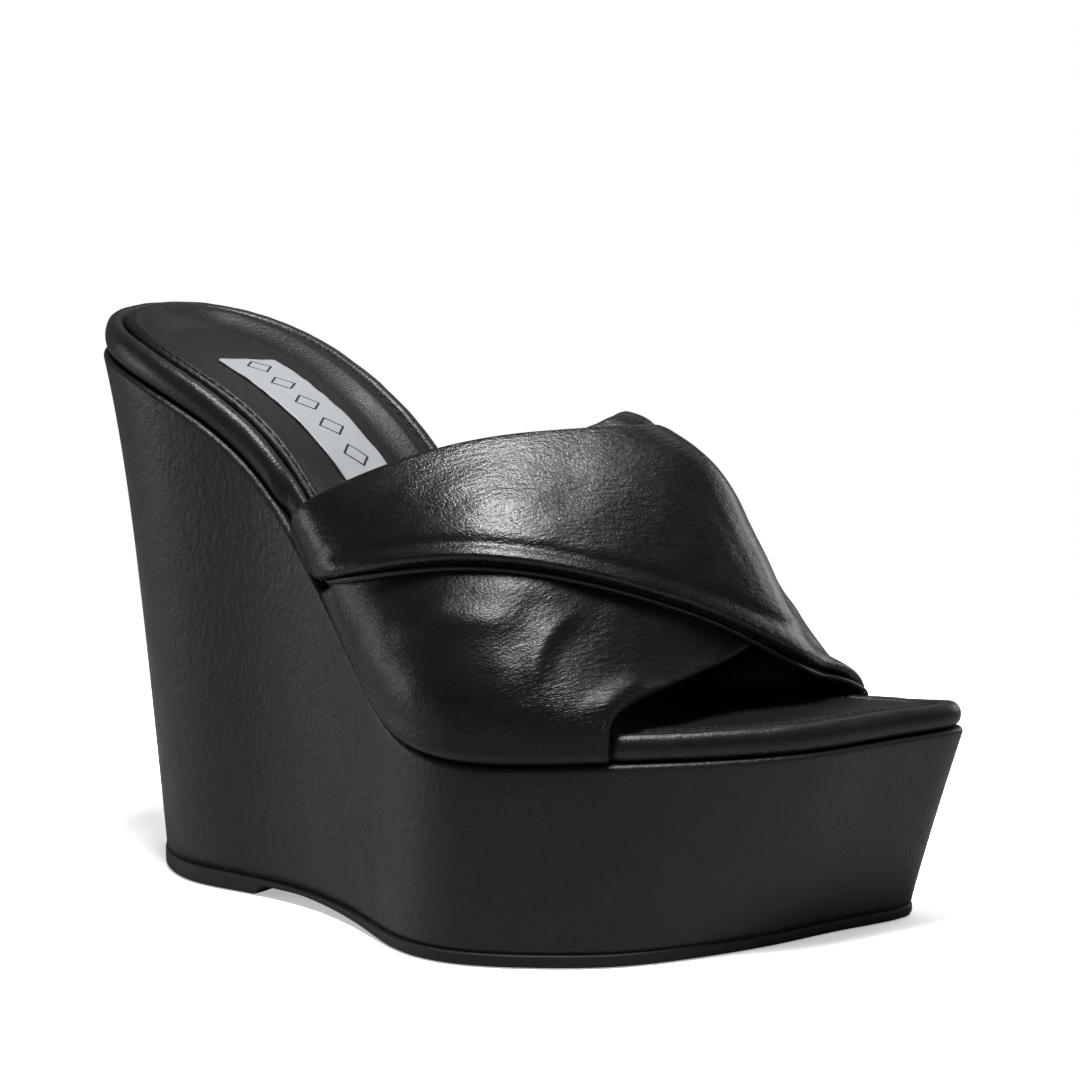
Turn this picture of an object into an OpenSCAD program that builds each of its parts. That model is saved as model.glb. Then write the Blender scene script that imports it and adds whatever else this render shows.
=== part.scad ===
// Platform wedge sandal, right foot: a slip-on mule with two padded leather
// straps that cross over the instep.
// +X points to the toe, +Y to the inner side of the foot and +Z up.
// The origin lies on the ground, under the middle of the sandal.

/* [Size] */
// Length of the footbed, heel to toe
foot_length = 222; // [212:1:236]
// Width of the footbed across the ball of the foot
ball_width = 97; // [90:1:102]
// Height of the wedge under the heel
heel_height = 131; // [120:1:136]
// Height of the platform under the ball of the foot
platform_height = 45; // [40:1:50]

/* [Sole] */
// Thickness of the heel end of the outsole
heel_pad = 5.6; // [4.5:0.1:6.5]
// Thickness of the front of the outsole
sole_thickness = 3; // [2.5:0.1:4]
// Distance that the outsole stands out past the wedge
sole_lip = 0.8; // [0.4:0.1:1.2]
// Depth of the tread grooves
tread_depth = 1.1; // [0.6:0.1:1.5]

/* [Wedge] */
// Thickness of the leather that covers the wedge
wrap_leather = 1.1; // [0.9:0.1:1.4]
// Width of the leather margins folded under the insole
lasting_margin = 12; // [9:0.5:14]

/* [Footbed] */
// Height of the padded edge above the wedge
rand_height = 6.6; // [6.2:0.1:7.2]
// Width of the padded edge
rand_width = 5.4; // [5:0.1:6]
// Width of the maker's patch
label_width = 17; // [13:0.5:18]
// Length of the maker's patch
label_length = 62; // [50:1:66]

/* [Straps] */
// Thickness of a padded strap at its middle
strap_thickness = 3.8; // [3.2:0.1:4.2]
// Thickness of a strap along its folded edges
strap_edge = 2.4; // [2.2:0.1:2.8]
// Thickness of the strap's outer leather
strap_leather = 1; // [0.8:0.1:1.1]
// Radius of the piping under the front edge of the upper strap
piping_r = 0.9; // [0.7:0.1:1.1]

/* [Hidden] */

// Scale of the drawn outline to the wanted size
kx = foot_length / 222;
ky = ball_width / 97;

// Control points of the footbed outline at the wedge's upper edge: from the
// back of the heel along the outer side to the toe, and back along the inner
// side.
outline = [for (p = [
    [8, -9], [16, -28], [41, -41], [76, -37], [102, -43], [126, -57],
    [149, -65], [179, -48], [205, -26], [217, -9], [222, 7], [229, 22],
    [233, 35], [217, 39], [192, 35], [151, 34], [110, 28], [72, 29],
    [42, 33], [17, 26], [8, 10]
]) [p.x * kx, p.y * ky]];

// The wedge's upper edge seen from the side, as shares of the rise from the
// platform to the heel, at equal steps along the foot from one step behind it
rise = [1.06, 1.02, 0.963, 0.87, 0.71, 0.34, 0.045, 0, 0.017, 0.02, 0.027, 0.038];
edge_z = [for (r = rise) platform_height + r * (heel_height - platform_height)];
step_x = 25 * kx;

// Widths of the bottom of the wedge against its top
heel_tuck = 19 * kx;
toe_tuck = 14 * kx;

// Heights of the layers above the wedge's upper edge, square to it
core_top = -1.3;
board_bottom = 1.4;
board_top = 3;
foam_top = 5.3;
sock_top = 6.3;
gap = 0.1;

// Plan insets of the footbed's parts from the wedge's upper edge
rand_inset = 2;
rand_leather = 1.05;
inner_inset = rand_inset + rand_width + 0.2;
strap_inset = 1.9;

// Places along the sole: end of the heel pad, and the waist
pad_end = 74 * kx;
waist_start = 77 * kx;
waist_end = 128 * kx;
waist_lift = 2.4;

// Outer-side and inner-side stretches of the outline that the straps take
outer_reach = [3.22, 7.08];
inner_reach = [16.1, 13.68];

// Ridge line of the straps over the instep, rear to front
ridge = [
    [139 * kx, 8 * ky, platform_height + 78.5],
    [176 * kx, 9 * ky, platform_height + 63],
    [190 * kx, 7 * ky, platform_height + 16]
];
// Share of the girth over which a strap stands straight up beside the rand
hug = 0.07;
// Roundness of the instep arch: outer side, inner rear and inner front
arch_outer = 2.3;
arch_inner = [1.9, 1.6];

// Strap edges, as shares from the rear to the front of the reach, at quarter
// steps of the girth from the outer side to the inner side
over_rear = [0.05, 0.22, 0.28, 0.36, 0.48];
over_front = [0.12, 0.46, 1.04, 1.02, 1];
under_rear = [0.16, 0.4, 0.22, 0.08, 0];
under_front = [1, 1, 0.98, 0.72, 0.44];
strap_gap = 0.3;
// How far the straps stand out past the footbed: outer side, inner side
strap_swell = [2.9, 1.5];
// Stretches along the foot where strap margins lie under the rand
outer_margins = [78, 188];
inner_margins = [94, 206];

// Mesh steps
around = 84;
girth_steps = 26;
width_steps = 5;
stitches = 96;

// Places on the outline, in control points: back of the heel and tip of the toe
heel_t = -0.5;
toe_t = 11.79;

heel_screw_x = 40 * kx;
shank_from = 36 * kx;
shank_to = 124 * kx;
shank_width = 12;
rivet_x = [62 * kx, 96 * kx];
nail_xy = [for (sx = [-12, 12]) for (y = [-11, 11]) [heel_screw_x + sx, y]];

far = 300;

// ---- Curves ----

function weights(f) = [
    pow(1 - f, 3) / 6, (3 * pow(f, 3) - 6 * f * f + 4) / 6,
    (-3 * pow(f, 3) + 3 * f * f + 3 * f + 1) / 6, pow(f, 3) / 6
];

// Point at t on a closed smooth curve round its control points
function round_curve(c, t) =
    let(n = len(c), i = floor(t) + n, w = weights(t - floor(t)))
    w[0] * c[(i - 1) % n] + w[1] * c[i % n]
    + w[2] * c[(i + 1) % n] + w[3] * c[(i + 2) % n];

// Point at t on an open smooth curve that starts and ends on its end values
function open_curve(c, t) =
    let(n = len(c), i = max(0, min(floor(t), n - 2)), w = weights(t - i),
        before = i > 0 ? c[i - 1] : 2 * c[0] - c[1],
        after = i < n - 2 ? c[i + 2] : 2 * c[n - 1] - c[n - 2])
    w[0] * before + w[1] * c[i] + w[2] * c[i + 1] + w[3] * after;

// Smooth step from 0 at a to 1 at b
function smooth(a, b, x) =
    let(f = max(0, min(1, (x - a) / (b - a)))) f * f * (3 - 2 * f);

function unit(v) = v / norm(v);

// Height and slope of the wedge's upper edge at x
function edge_height(x) = open_curve(edge_z, x / step_x + 1);
function edge_slope(x) = atan(edge_height(x + 0.5) - edge_height(x - 0.5));

// Height at x of a layer that lies off above the wedge's edge, square to it
function over_edge(x, off) = edge_height(x) + off / cos(edge_slope(x));

// How each control point moves when the outline shrinks by 1 mm
moves = [for (i = [0 : len(outline) - 1])
    let(n = len(outline),
        a = unit(outline[i] - outline[(i - 1 + n) % n]),
        b = unit(outline[(i + 1) % n] - outline[i]),
        m = unit([-a.y - b.y, a.x + b.x]))
    m / (m * [-a.y, a.x])];

// Inward plan direction at t on the outline
function inward(t) = round_curve(moves, t);

// Plan point at t on the outline, moved inwards
function top_xy(t, inset = 0) = round_curve(outline, t) + inset * inward(t);

// Where the bottom of the wedge lies for a plan point on its upper edge
function bottom_of(p) = [
    p.x + heel_tuck * (1 - smooth(5 * kx, 85 * kx, p.x))
    - toe_tuck * smooth(175 * kx, 225 * kx, p.x),
    p.y * (1 - 0.05 * (1 - smooth(20 * kx, 80 * kx, p.x))
           + 0.035 * smooth(110 * kx, 140 * kx, p.x) * (1 - smooth(180 * kx, 215 * kx, p.x)))
];

// Share of the way from the bottom outline to the upper edge at height share h
function flare(h, x) =
    let(front = smooth(60 * kx, 180 * kx, x), a = max(h, 0))
    (1 - front) * (0.76 * h + 0.24 * pow(a, 5)) + front * (h < 0 ? h : pow(a, 1.1));

// Point on the wedge's wall at t and height share h, moved inwards
function wall_point(t, h, inset) =
    let(p = top_xy(t), q = bottom_of(p), s = q + (p - q) * flare(h, p.x) + inset * inward(t))
    [s.x, s.y, h * edge_height(p.x)];

function lap(n) = [for (i = [0 : n - 1]) i * len(outline) / n];

// Stations along the foot for an outline moved inwards, closer at both ends
function stations(inset) =
    let(a = top_xy(heel_t, inset).x, b = top_xy(toe_t, inset).x, step = 5 * kx)
    concat([for (d = [0.05, 0.5, 1.5, 3, 5, 8]) a + d],
           [for (x = [ceil((a + 9) / step) * step : step : b - 15]) x],
           [for (d = [14, 11, 8.5, 6.5, 4.8, 3.4, 2.2, 1.2, 0.5, 0.05]) b - d]);

// Place on the outline where it crosses x, between two places that bracket it
function crossing(x, inset, low, high, tries = 16) =
    let(mid = (low + high) / 2)
    tries == 0 ? mid
    : (top_xy(mid, inset).x < x) ? crossing(x, inset, mid, high, tries - 1)
    : crossing(x, inset, low, mid, tries - 1);

// Places on the outline for a set of stations: the outer side from heel to
// toe, then the inner side back to the heel
function both_sides(inset) =
    let(xs = stations(inset), last = len(xs) - 1, n = len(outline))
    concat([for (x = xs) crossing(x, inset, heel_t, toe_t)],
           [for (i = [last : -1 : 0]) crossing(xs[i], inset, n + heel_t, toe_t)]);

// ---- Straps ----

function side_t(s, outer) =
    let(r = outer ? outer_reach : inner_reach) r[0] + (r[1] - r[0]) * s;

function ridge_point(s) =
    pow(1 - s, 2) * ridge[0] + 2 * s * (1 - s) * ridge[1] + s * s * ridge[2];

// The surface that the straps lie on: s runs from rear to front, and u over
// the foot from the outer side at 0 to the inner side at 1
function foot_point(s, u) =
    let(outer = u < 0.5, a = max(0, min(u, 1 - u)),
        foot = top_xy(side_t(s, outer), strap_inset),
        z = over_edge(foot.x, (rand_height + 0.4) * min(1, a / hug)),
        turn = 90 * max(0, a - hug) / (0.5 - hug),
        n = outer ? arch_outer : arch_inner[0] + (arch_inner[1] - arch_inner[0]) * s,
        over = 1 - pow(max(0, cos(turn)), 2 / n), up = pow(sin(turn), 2 / n),
        top = ridge_point(s))
    [foot.x + (top.x - foot.x) * over, foot.y + (top.y - foot.y) * over,
     z + (top.z - z) * up];

function strap_normal(s, u) =
    let(e = 0.003)
    unit(cross(foot_point(s + e, u) - foot_point(s - e, u),
               foot_point(s, min(1, u + e)) - foot_point(s, max(0, u - e))));

function strap_point(s, u, off) = foot_point(s, u) + off * strap_normal(s, u);

// How far the upper strap rides above the foot surface to clear the lower one
function ride(s, u) =
    let(b = open_curve(under_front, u * 4))
    (strap_thickness + strap_gap) * smooth(0, 0.13, min(u, 1 - u))
    * (1 - smooth(b + 0.03, b + 0.28, s) * smooth(0.5, 0.72, u));

// Thickness of a strap at share c across its width
function puff(c) =
    strap_edge + (strap_thickness - strap_edge) * pow(sin(180 * c), 0.6);

function across(rear, front, u, c) =
    let(a = open_curve(rear, u * 4), b = open_curve(front, u * 4)) a + (b - a) * c;

// Grid of points for one face of a strap layer. Its height is low above the
// surface, or with outer set it hangs below the strap's outer face.
function strap_grid(rear, front, over, u0, margin, height, outer) =
    [for (i = [0 : girth_steps]) let(u = u0 + (1 - 2 * u0) * i / girth_steps)
        [for (j = [0 : width_steps])
            let(c = margin + (1 - 2 * margin) * j / width_steps,
                s = across(rear, front, u, c),
                base = over ? ride(s, u) : 0)
            strap_point(s, u, base + height + (outer ? puff(c) : 0))]];

// Row of a lasting margin: its points lie under the insole at one side
function margin_row(rear, front, outer, inset, lift) =
    [for (j = [0 : width_steps])
        let(s = across(rear, front, outer ? 0 : 1, j / width_steps),
            p = top_xy(side_t(s, outer), inset))
        [p.x, p.y, over_edge(p.x, lift)]];

// ---- Solids from points ----

// Closed solid between rings of points. The end rings are closed by strips
// from each point to its partner across the ring.
module loft(rings) {
    n = len(rings[0]);
    last = (len(rings) - 1) * n;
    walls = [for (k = [0 : len(rings) - 2]) for (i = [0 : n - 1])
        let(a = k * n + i, b = k * n + (i + 1) % n)
        each [[a, a + n, b], [b, a + n, b + n]]];
    caps = [for (i = [0 : n / 2 - 2])
        let(a = i, b = i + 1, c = n - 2 - i, d = n - 1 - i)
        each [[a, b, c], [a, c, d],
              [last + a, last + c, last + b], [last + a, last + d, last + c]]];
    polyhedron([for (r = rings) each r], concat(walls, caps));
}

// Closed band made by carrying a section round the outline
module band(sections) {
    n = len(sections[0]);
    m = len(sections);
    polyhedron([for (r = sections) each r], [for (k = [0 : m - 1]) for (i = [0 : n - 1])
        let(a = k * n + i, b = k * n + (i + 1) % n,
            c = (k + 1) % m * n + i, d = (k + 1) % m * n + (i + 1) % n)
        each [[a, b, c], [b, d, c]]]);
}

// Closed solid between two grids of points that face each other
module sheet(inner, outer) {
    rows = len(inner);
    cols = len(inner[0]);
    n = rows * cols;
    faces = [for (i = [0 : rows - 2]) for (j = [0 : cols - 2])
        let(a = i * cols + j, b = a + 1, c = a + cols, d = c + 1)
        each [[a, c, b], [b, c, d], [n + a, n + b, n + c], [n + b, n + d, n + c]]];
    ends = [for (j = [0 : cols - 2]) let(a = j, c = (rows - 1) * cols + j)
        each [[a, a + 1, n + a], [a + 1, n + a + 1, n + a],
              [c, n + c, c + 1], [c + 1, n + c, n + c + 1]]];
    sides = [for (i = [0 : rows - 2]) let(a = i * cols, c = a + cols - 1)
        each [[a, n + a, a + cols], [a + cols, n + a, n + a + cols],
              [c, c + cols, n + c], [c + cols, n + c + cols, n + c]]];
    polyhedron([for (r = inner) each r, for (r = outer) each r],
               concat(faces, ends, sides));
}

// Layer over the whole footbed outline, between two heights above the edge
module layer(inset, low, high) {
    ts = both_sides(inset);
    loft([for (off = [low, high])
        [for (t = ts) let(p = top_xy(t, inset)) [p.x, p.y, over_edge(p.x, off)]]]);
}

// Strip along the foot whose middle runs from y at its rear with a drift
module strip(from, to, y, drift, width, low, high) {
    steps = ceil((to - from) / (5 * kx));
    xs = [for (i = [0 : steps]) from + (to - from) * i / steps];
    side = function (x, h) y + drift * (x - from) + h * width / 2;
    loft([for (off = [low, high]) concat(
        [for (x = xs) [x, side(x, -1), over_edge(x, off)]],
        [for (i = [steps : -1 : 0]) [xs[i], side(xs[i], 1), over_edge(xs[i], off)]])]);
}

function sole_top(x) =
    heel_pad + (sole_thickness - heel_pad) * max(0, min(1, x / waist_end));

// Point on the wedge's wall at t and share v of its height above the outsole
function wall_at(t, v, inset, top) =
    let(x = top_xy(t).x, low = sole_top(bottom_of(top_xy(t)).x),
        z = low + (over_edge(x, top) - low) * v, p = wall_point(t, z / edge_height(x), inset))
    [p.x, p.y, z];

wall_levels = [0, 0.12, 0.28, 0.45, 0.62, 0.78, 0.9, 1];

// Places its children at height off above the wedge's edge, square to it
module on_edge(x, y, off) {
    a = edge_slope(x);
    translate([x, y, over_edge(x, off)])
        rotate([0, -a, 0]) children();
}

// ---- Sole and wedge ----

module sole_plan(grow) {
    linear_extrude(height = 20, center = true)
        polygon([for (t = lap(around)) bottom_of(top_xy(t)) - grow * inward(t)]);
}

module outsole() {
    groove = 1.6;
    pitch = 7;
    front = 215 * kx;
    color([0.06, 0.06, 0.06]) difference() {
        intersection() {
            sole_plan(sole_lip);
            rotate([90, 0, 0]) linear_extrude(height = far, center = true) polygon([
                [0, 0], [pad_end, 0], [waist_start, waist_lift],
                [waist_start + 12, waist_lift], [waist_end, 0], [far, 0],
                [far, sole_thickness], [waist_end, sole_thickness], [0, heel_pad]
            ]);
        }
        intersection() {
            sole_plan(-7);
            union() {
                for (x = [pad_end - 6 : -pitch : 34 * kx])
                    translate([x, -far / 2, -1]) cube([groove, far, 1 + tread_depth]);
                for (x = [waist_end + 10 : pitch : front])
                    translate([x, -far / 2, -1]) cube([groove, far, 1 + tread_depth]);
            }
        }
    }
}

module wedge_core() {
    inset = wrap_leather + gap;
    ts = both_sides(inset);
    color([0.75, 0.72, 0.66]) difference() {
        loft([for (v = wall_levels)
            [for (t = ts) wall_at(t, v, inset, core_top) + (v == 0 ? [0, 0, gap] : [0, 0, 0])]]);
        heel_bores(1.9, 0.95, 30, 16);
    }
}

// Leather cover: up the wall, folded over the core's top edge, and its inside
module wedge_wrap() {
    fold = function (t, inset, off)
        let(p = top_xy(t, inset)) [p.x, p.y, over_edge(p.x, off)];
    low = core_top + gap;
    levels = len(wall_levels);
    color([0.05, 0.05, 0.05]) band([for (t = lap(around)) concat(
        [for (v = wall_levels) wall_at(t, v, 0, 0) + (v == 0 ? [0, 0, gap] : [0, 0, 0])],
        [fold(t, lasting_margin, 0), fold(t, lasting_margin, low)],
        [for (i = [levels - 1 : -1 : 0])
            wall_at(t, wall_levels[i], wrap_leather, low) + (i == 0 ? [0, 0, gap] : [0, 0, 0])]
    )]);
}

// ---- Insole ----

module bottom_filler() {
    color([0.72, 0.56, 0.36]) difference() {
        layer(lasting_margin + 0.4, core_top + gap, board_bottom - gap);
        strip(shank_from - 0.4, shank_to + 0.4, 0, 0, shank_width + 0.8, -0.4 - gap, 6);
        heel_bores(2.1, 1.05, 60, 60);
    }
}

module steel_shank() {
    color([0.6, 0.62, 0.65]) difference() {
        strip(shank_from, shank_to, 0, 0, shank_width, -0.4, board_bottom - gap);
        rivet_bores(1.55);
        heel_bores(2.1, 1.05, 60, 60);
    }
}

module rivet_bores(r) {
    for (x = rivet_x) on_edge(x, 0, -5) cylinder(h = 20, r = r, $fn = 32);
}

module shank_rivets() {
    head_r = 3;
    color([0.78, 0.7, 0.45]) for (x = rivet_x) {
        on_edge(x, 0, -0.4) cylinder(h = board_top - 0.3, r = 1.5, $fn = 32);
        on_edge(x, 0, board_top - 0.8) cylinder(h = 0.7, r = head_r, $fn = 32);
    }
}

module insole_board() {
    color([0.55, 0.45, 0.33]) difference() {
        layer(inner_inset, board_bottom, board_top);
        rivet_bores(1.55);
        for (x = rivet_x) on_edge(x, 0, board_top - 0.85) cylinder(h = 5, r = 3.1, $fn = 32);
        heel_bores(2.1, 1.05, 60, 60);
        translate([heel_screw_x, 0, screw_seat()]) cylinder(h = 20, r = 4.1, $fn = 32);
        for (p = nail_xy) translate([p.x, p.y, nail_seat(p)])
            cylinder(h = 20, r = 1.9, $fn = 24);
    }
}

// Height of the underside of the screw's head and of the nails' heads
function screw_seat() = edge_height(heel_screw_x + 4) + board_bottom + 0.5;
function nail_seat(p) = edge_height(p.x + 2) + board_bottom + 0.6;

// Vertical bores for the heel screw and nails, deep enough below their heads
module heel_bores(screw_r, nail_r, screw_depth, nail_depth) {
    translate([heel_screw_x, 0, screw_seat() - screw_depth])
        cylinder(h = screw_depth + 10, r = screw_r, $fn = 32);
    for (p = nail_xy) translate([p.x, p.y, nail_seat(p) - nail_depth])
        cylinder(h = nail_depth + 10, r = nail_r, $fn = 24);
}

module heel_screw() {
    color([0.7, 0.72, 0.74]) translate([heel_screw_x, 0, screw_seat()]) difference() {
        union() {
            translate([0, 0, -26]) cylinder(h = 26, r = 1.8, $fn = 32);
            translate([0, 0, -29]) cylinder(h = 3, r1 = 0.3, r2 = 1.8, $fn = 32);
            cylinder(h = 0.9, r = 4, $fn = 32);
        }
        translate([-2.5, -0.4, 0.4]) cube([5, 0.8, 1]);
        translate([-0.4, -2.5, 0.4]) cube([0.8, 5, 1]);
    }
}

module heel_nails() {
    color([0.7, 0.72, 0.74]) for (p = nail_xy) translate([p.x, p.y, nail_seat(p)]) {
        translate([0, 0, -14]) cylinder(h = 14, r = 0.9, $fn = 24);
        cylinder(h = 0.6, r = 1.8, $fn = 24);
    }
}

// ---- Footbed ----

// Height of the rand's foot: it stands on the straps' margins where they are
function rand_foot(t) =
    let(x = top_xy(t).x / kx, reach = t < toe_t ? outer_margins : inner_margins)
    x > reach[0] && x < reach[1] ? board_bottom : gap;

// Section of a band at t from pairs of inset and height
function section(t, pairs) =
    [for (q = pairs) let(p = top_xy(t, q[0])) [p.x, p.y, over_edge(p.x, q[1])]];

module edge_padding() {
    cover = rand_leather + gap;
    low = board_bottom + gap;
    high = rand_height - cover;
    a = rand_inset + cover;
    b = rand_inset + rand_width - cover;
    color([0.85, 0.83, 0.78]) band([for (t = lap(around))
        section(t, [[a, low], [a, high], [b, high], [b, low]])]);
}

// Leather channel that covers the padding round the footbed's edge
module edge_rand() {
    a = rand_inset;
    b = rand_inset + rand_width;
    high = rand_height;
    bevel = 0.8;
    color([0.04, 0.04, 0.04]) band([for (t = lap(around)) let(low = rand_foot(t))
        section(t, [[a, low], [a, high - bevel], [a + bevel, high], [b - bevel, high],
                    [b, high - bevel], [b, low], [b - rand_leather, low],
                    [b - rand_leather, high - rand_leather],
                    [a + rand_leather, high - rand_leather], [a + rand_leather, low]])]);
}

module footbed_foam() {
    color([0.9, 0.88, 0.8]) layer(inner_inset, board_top + gap, foam_top);
}

module sock_lining() {
    color([0.05, 0.05, 0.05]) layer(inner_inset, foam_top + gap, sock_top);
}

module sock_stitching() {
    inset = inner_inset + 1.6;
    thread_r = 0.3;
    lift = sock_top + 0.5;
    color([0.1, 0.1, 0.1]) for (t = lap(stitches)) {
        a = top_xy(t, inset);
        b = top_xy(t + 0.14, inset);
        p = [a.x, a.y, over_edge(a.x, lift)];
        d = [b.x, b.y, over_edge(b.x, lift)] - p;
        translate(p) rotate([0, acos(d.z / norm(d)), atan2(d.y, d.x)])
            cylinder(h = norm(d), r = thread_r, $fn = 16);
    }
}

module label_patch() {
    rear = 46 * kx;
    color([0.8, 0.8, 0.82]) strip(rear, rear + label_length * kx, -2 * ky, -0.04,
                                  label_width, sock_top + gap, sock_top + 0.4);
}

// ---- Strap parts ----

module strap_lining(rear, front, over) {
    u0 = 0.02;
    sheet(strap_grid(rear, front, over, u0, 0, 0, false),
          strap_grid(rear, front, over, u0, 0, 0.9, false));
}

module strap_foam(rear, front, over) {
    u0 = 0.02;
    margin = 0.08;
    sheet(strap_grid(rear, front, over, u0, margin, 0.95, false),
          strap_grid(rear, front, over, u0, margin, -strap_leather - gap, true));
}

// Outer leather with the margins that fold under the insole at both ends
module strap_outer(rear, front, over) {
    u0 = 0.025;
    low = 0.1;
    high = 1.15;
    face = strap_inset - strap_edge;
    inner = concat(
        [margin_row(rear, front, true, lasting_margin, high),
         margin_row(rear, front, true, face + strap_leather, high)],
        strap_grid(rear, front, over, u0, 0, -strap_leather, true),
        [margin_row(rear, front, false, face + strap_leather, high),
         margin_row(rear, front, false, lasting_margin, high)]);
    outer = concat(
        [margin_row(rear, front, true, lasting_margin, low),
         margin_row(rear, front, true, face, low)],
        strap_grid(rear, front, over, u0, 0, 0, true),
        [margin_row(rear, front, false, face, low),
         margin_row(rear, front, false, lasting_margin, low)]);
    sheet(inner, outer);
}

module under_strap_lining() {
    color([0.12, 0.11, 0.1]) strap_lining(under_rear, under_front, false);
}

module under_strap_foam() {
    color([0.9, 0.88, 0.8]) strap_foam(under_rear, under_front, false);
}

module under_strap_outer() {
    color([0.05, 0.05, 0.05]) strap_outer(under_rear, under_front, false);
}

module over_strap_lining() {
    color([0.12, 0.11, 0.1]) strap_lining(over_rear, over_front, true);
}

module over_strap_foam() {
    color([0.9, 0.88, 0.8]) strap_foam(over_rear, over_front, true);
}

module over_strap_outer() {
    color([0.05, 0.05, 0.05]) strap_outer(over_rear, over_front, true);
}

// Cord along the front edge of the upper strap, clear of its leather
module over_strap_piping() {
    sides = 8;
    u0 = 0.03;
    steps = 40;
    color([0.04, 0.04, 0.04]) loft([for (i = [0 : steps])
        let(u = u0 + (1 - 2 * u0) * i / steps, s = open_curve(over_front, u * 4),
            n = strap_normal(s, u),
            forward = unit(foot_point(s + 0.01, u) - foot_point(s - 0.01, u)),
            p = strap_point(s, u, ride(s, u) + strap_edge / 2) + forward * (piping_r + 0.15))
        [for (k = [0 : sides - 1]) let(a = 360 * k / sides)
            p + piping_r * (cos(a) * forward + sin(a) * n)]]);
}

// ---- Assembly ----

plan_points = [for (t = lap(400)) top_xy(t)];
mid_x = (min([for (p = plan_points) p.x]) + max([for (p = plan_points) p.x])) / 2;
mid_y = (min([for (p = plan_points) p.y]) - strap_swell[0]
         + max([for (p = plan_points) p.y]) + strap_swell[1]) / 2;

module centred() translate([-mid_x, -mid_y, 0]) children();

centred() outsole();
centred() wedge_core();
centred() wedge_wrap();
centred() bottom_filler();
centred() steel_shank();
centred() insole_board();
centred() shank_rivets();
centred() heel_screw();
centred() heel_nails();
centred() edge_padding();
centred() edge_rand();
centred() footbed_foam();
centred() sock_lining();
centred() sock_stitching();
centred() label_patch();
centred() under_strap_lining();
centred() under_strap_foam();
centred() under_strap_outer();
centred() over_strap_lining();
centred() over_strap_foam();
centred() over_strap_outer();
centred() over_strap_piping();
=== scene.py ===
import math

import bpy
import numpy as np
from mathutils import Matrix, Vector


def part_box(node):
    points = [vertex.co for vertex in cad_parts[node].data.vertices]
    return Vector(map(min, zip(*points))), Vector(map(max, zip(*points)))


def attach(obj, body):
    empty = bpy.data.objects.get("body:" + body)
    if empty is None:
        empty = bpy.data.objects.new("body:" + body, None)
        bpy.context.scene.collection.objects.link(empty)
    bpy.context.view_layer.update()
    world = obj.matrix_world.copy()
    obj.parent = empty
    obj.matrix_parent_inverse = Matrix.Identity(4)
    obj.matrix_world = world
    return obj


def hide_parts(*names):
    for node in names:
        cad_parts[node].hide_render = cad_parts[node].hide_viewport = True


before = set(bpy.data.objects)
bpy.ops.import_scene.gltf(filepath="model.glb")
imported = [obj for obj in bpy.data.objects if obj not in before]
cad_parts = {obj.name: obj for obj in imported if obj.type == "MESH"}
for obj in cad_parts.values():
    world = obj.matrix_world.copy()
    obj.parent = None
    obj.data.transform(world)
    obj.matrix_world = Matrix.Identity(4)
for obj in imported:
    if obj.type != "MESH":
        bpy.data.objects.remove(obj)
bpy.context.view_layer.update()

# Everything below is worked out in millimetres in the drawing's own axes: x to
# the toe, y to the inner side, z up. to_frame() turns it into the row frame.

# ---- Driving shape ----
# The CAD part's, apart from INNER_INSET, OVER, UNDER and the label's outline, which
# follow the photograph more closely.

OUTLINE = np.array([
    [8, -9], [16, -28], [41, -41], [76, -37], [102, -43], [126, -57],
    [149, -65], [179, -48], [205, -26], [217, -9], [222, 7], [229, 22],
    [233, 35], [217, 39], [192, 35], [151, 34], [110, 28], [72, 29],
    [42, 33], [17, 26], [8, 10]], float)
LAP = len(OUTLINE)
# Height of the wedge's top edge at every STEP_X
PLATFORM = 45
HEEL_RISE = 86
RISE = np.array([1.06, 1.02, 0.963, 0.87, 0.71, 0.34, 0.045, 0, 0.017, 0.02,
                 0.027, 0.038])
EDGE_Z = PLATFORM + RISE * HEEL_RISE
STEP_X = 25
# Places on the outline of its rearmost and foremost points
HEEL_T, TOE_T = -0.5, 11.79
# Outsole: thickness at the heel and in front, lip, tread and waist
HEEL_PAD, SOLE_FRONT, SOLE_LIP = 5.6, 3, 0.8
TREAD, GROOVE, GROOVE_SIDE, GROOVE_PITCH = 1.1, 1.6, 0.15, 7
PAD_END, WAIST_START, WAIST_END, WAIST_LIFT = 74, 77, 128, 2.4
WAIST_SLOPE_END = WAIST_START + 12
# Thickness of the wedge's leather and how far it folds in over the top
WRAP = 1.1
FOLD_INSET = 12
# Padded edge: the CAD one's inset, where the sock begins here, and its height
RAND_INSET = 2
INNER_INSET = 6.1
RAND_HEIGHT = 6.6
# Straps: inset of their ends, the stretches of outline that they leave from, the
# ridge line over the foot, and how round the arch is on each side
STRAP_INSET = 1.9
OUTER_REACH, INNER_REACH = (3.22, 7.08), (16.1, 13.68)
RIDGE = np.array([[139, 8, 123.5], [176, 9, 108], [190, 7, 61]], float)
ARCH_OUTER, ARCH_INNER = 2.3, (1.9, 1.6)
# Share of the way over the foot in which a strap climbs the padded edge, and the
# way that the straps' inner side faces
HUG = 0.07
INNER_WAY = np.array([0.6, 0.65, 0.47])
# Rear and front edge of the upper and the lower strap, as s at five places over
# the foot
OVER = ([0.05, 0.22, 0.28, 0.36, 0.48], [0.12, 0.46, 1.04, 0.985, 1.05])
UNDER = ([0.16, 0.4, 0.19, 0.06, 0], [1, 1, 0.98, 0.72, 0.44])
# A padded strap's thickness, and the gap between the two
STRAP_FULL, STRAP_GAP = 3.8, 0.3


# ---- Curves ----

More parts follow.
